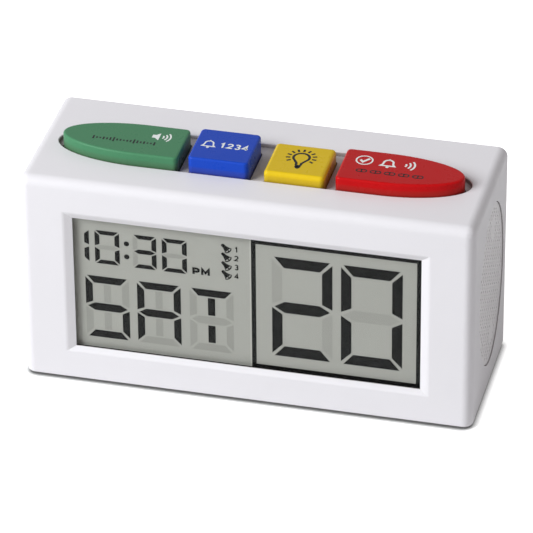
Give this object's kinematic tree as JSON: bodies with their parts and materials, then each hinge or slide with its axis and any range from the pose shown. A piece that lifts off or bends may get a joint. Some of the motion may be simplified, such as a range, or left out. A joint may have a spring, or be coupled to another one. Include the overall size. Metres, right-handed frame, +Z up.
{
  "type": "talking alarm clock",
  "caption": "White box-shaped talking alarm clock for medicine times, with a wide recessed display, coloured keys in an oval well on top and an oval speaker grille on its right side.",
  "frame": {"origin": "on the table plane, under the middle of the case's width and depth", "axes": "+X to the right along the width, +Y from the display to the rear cover, +Z up"},
  "size_m": [0.14, 0.05, 0.0758],
  "materials": {
    "case_white": "satin moulded",
    "cover_white": "satin moulded",
    "grille_white": "satin moulded",
    "lens_clear": "clear polished",
    "lcd_grey": "reflective liquid crystal",
    "holder_white": "moulded",
    "strip_black": "layered conductive rubber",
    "guide_clear": "frosted",
    "lamp_white": "moulded lamp",
    "board_green": "solder mask",
    "resin_black": "cured resin",
    "tin": "tinned steel",
    "capacitor_sleeve": "shrink sleeve",
    "screw_steel": "zinc plated",
    "button_green": "moulded key",
    "button_blue": "moulded key",
    "button_yellow": "moulded key",
    "button_red": "moulded key",
    "silicone": "soft silicone",
    "foot_rubber": "matt rubber",
    "gasket_foam": "closed foam",
    "basket_steel": "plated pressing",
    "cone_paper": "coated paper",
    "magnet_steel": "nickel plated",
    "cell_wrap": "printed sleeve, plain",
    "contact_nickel": "nickel plated spring steel",
    "key_grey": "moulded key",
    "knob_black": "moulded knob",
    "switch_body": "moulded body",
    "wire_red": "insulated wire",
    "ribbon_grey": "flat cable"
  },
  "bodies": {
    "clock": {"main_housing": "case_white", "rear_cover": "cover_white", "speaker_grille": "grille_white", "feet": "foot_rubber", "display_lens": "lens_clear", "lcd_panel": "lcd_grey", "lcd_holder": "holder_white", "contact_strips": "strip_black", "backlight_panel": "guide_clear", "backlight_leds": "lamp_white", "main_board": "board_green", "sound_chip": "resin_black", "clock_chip": "resin_black", "amplifier_chip": "resin_black", "clock_crystal": "tin", "capacitors": "capacitor_sleeve", "display_screws": "screw_steel", "talk_dome": "silicone", "check_dome": "silicone", "light_dome": "silicone", "dismiss_dome": "silicone", "button_board": "board_green", "button_board_screws": "screw_steel", "speaker_gasket": "gasket_foam", "speaker_basket": "basket_steel", "speaker_cone": "cone_paper", "speaker_magnet": "magnet_steel", "speaker_clamp": "basket_steel", "speaker_screws": "screw_steel", "cover_screws": "screw_steel", "battery_cell_1": "cell_wrap", "battery_cell_2": "cell_wrap", "battery_cell_3": "cell_wrap", "battery_springs": "contact_nickel", "battery_plates": "contact_nickel", "key_board": "board_green", "key_board_screws": "screw_steel", "tact_switches": "switch_body", "slide_switches": "switch_body", "speaker_leads": "wire_red", "battery_leads": "wire_red", "button_ribbon": "ribbon_grey", "key_ribbon": "ribbon_grey"},
    "talk_button": {"talk_button": "button_green"},
    "check_button": {"check_button": "button_blue"},
    "light_button": {"light_button": "button_yellow"},
    "dismiss_button": {"dismiss_button": "button_red"},
    "hour_key": {"hour_key": "key_grey"},
    "minute_key": {"minute_key": "key_grey"},
    "calendar_key": {"calendar_key": "key_grey"},
    "alarm_set_key": {"alarm_set_key": "key_grey"},
    "volume_knob": {"volume_knob": "knob_black"},
    "mode_knob": {"mode_knob": "knob_black"},
    "battery_door": {"battery_door": "cover_white"}
  },
  "joints": [
    {"name": "talk_press", "type": "slide", "parent": "clock", "child": "talk_button", "axis": [0, 0, -1], "range_m": [0, 0.0015], "stiffness_N_per_m": 500, "springref_m": -0.002, "deforming": ["talk_dome"]},
    {"name": "check_press", "type": "slide", "parent": "clock", "child": "check_button", "axis": [0, 0, -1], "range_m": [0, 0.0015], "stiffness_N_per_m": 500, "springref_m": -0.002, "deforming": ["check_dome"]},
    {"name": "light_press", "type": "slide", "parent": "clock", "child": "light_button", "axis": [0, 0, -1], "range_m": [0, 0.0015], "stiffness_N_per_m": 500, "springref_m": -0.002, "deforming": ["light_dome"]},
    {"name": "dismiss_press", "type": "slide", "parent": "clock", "child": "dismiss_button", "axis": [0, 0, -1], "range_m": [0, 0.0015], "stiffness_N_per_m": 500, "springref_m": -0.002, "deforming": ["dismiss_dome"]},
    {"name": "hour_key_press", "type": "slide", "parent": "clock", "child": "hour_key", "axis": [0, -1, 0], "range_m": [0, 0.0005], "stiffness_N_per_m": 800, "springref_m": -0.001},
    {"name": "minute_key_press", "type": "slide", "parent": "clock", "child": "minute_key", "axis": [0, -1, 0], "range_m": [0, 0.0005], "stiffness_N_per_m": 800, "springref_m": -0.001},
    {"name": "calendar_key_press", "type": "slide", "parent": "clock", "child": "calendar_key", "axis": [0, -1, 0], "range_m": [0, 0.0005], "stiffness_N_per_m": 800, "springref_m": -0.001},
    {"name": "alarm_set_key_press", "type": "slide", "parent": "clock", "child": "alarm_set_key", "axis": [0, -1, 0], "range_m": [0, 0.0005], "stiffness_N_per_m": 800, "springref_m": -0.001},
    {"name": "volume_knob_slide", "type": "slide", "parent": "clock", "child": "volume_knob", "axis": [1, 0, 0], "range_m": [0, 0.004]},
    {"name": "mode_knob_slide", "type": "slide", "parent": "clock", "child": "mode_knob", "axis": [1, 0, 0], "range_m": [0, 0.004]},
    {"name": "battery_door_hinge", "type": "hinge", "parent": "clock", "child": "battery_door", "pos_m": [-0.034, 0.0234, 0.0065], "axis": [-1, 0, 0], "range_deg": [0, 85]}
  ]
}
